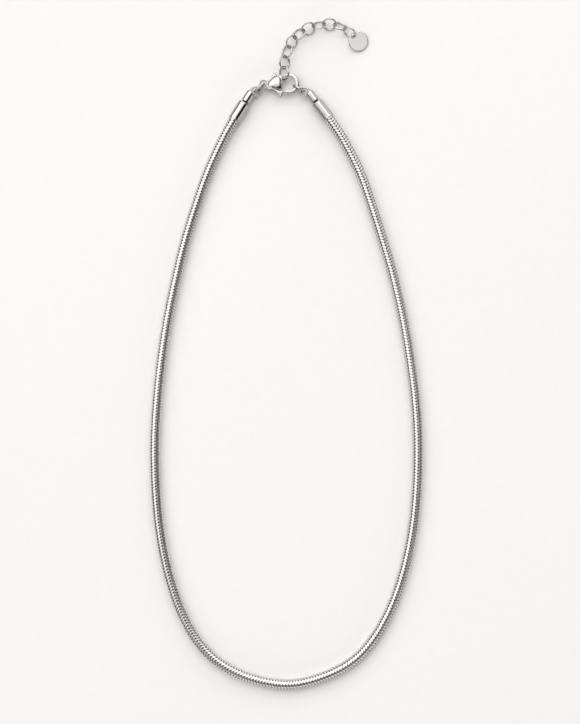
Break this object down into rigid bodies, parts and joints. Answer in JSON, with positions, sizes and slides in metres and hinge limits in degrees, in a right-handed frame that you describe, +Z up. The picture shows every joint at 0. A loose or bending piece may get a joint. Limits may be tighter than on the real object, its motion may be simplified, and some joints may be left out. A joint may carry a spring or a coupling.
{
  "type": "snake chain necklace",
  "caption": "Round snake chain necklace lying closed, with turned end caps, a lobster clasp and an extender chain that ends in a blank disc.",
  "frame": {"origin": "middle of the necklace's outline, on the surface that it lies on", "axes": "+Y from the bottom of the loop to its clasp, +X to the right seen from above, +Z up"},
  "size_m": [0.0874, 0.2147, 0.0046],
  "materials": {
    "chain_steel": "polished stainless steel, ribbed",
    "polished_steel": "polished stainless steel",
    "satin_steel": "satin stainless steel with a polished edge"
  },
  "bodies": {
    "necklace": {"snake_chain": "chain_steel", "end_cap_left": "polished_steel", "end_cap_right": "polished_steel", "jump_ring_left": "polished_steel", "jump_ring_right": "polished_steel", "clasp_body": "polished_steel", "clasp_pin": "polished_steel", "extender_link_1": "polished_steel", "extender_link_2": "polished_steel", "extender_link_3": "polished_steel", "extender_link_4": "polished_steel", "extender_link_5": "polished_steel", "extender_link_6": "polished_steel", "extender_link_7": "polished_steel", "extender_link_8": "polished_steel", "extender_link_9": "polished_steel", "extender_link_10": "polished_steel", "tag": "satin_steel"},
    "lever": {"clasp_lever": "polished_steel"}
  },
  "joints": [
    {"name": "clasp_lever_hinge", "type": "hinge", "parent": "necklace", "child": "lever", "pos_m": [-0.0052, 0.08515, 0.00203], "axis": [0, 0, 1], "range_deg": [0, 22], "stiffness_Nm_per_rad": 0.0005, "springref_deg": -20.05}
  ]
}
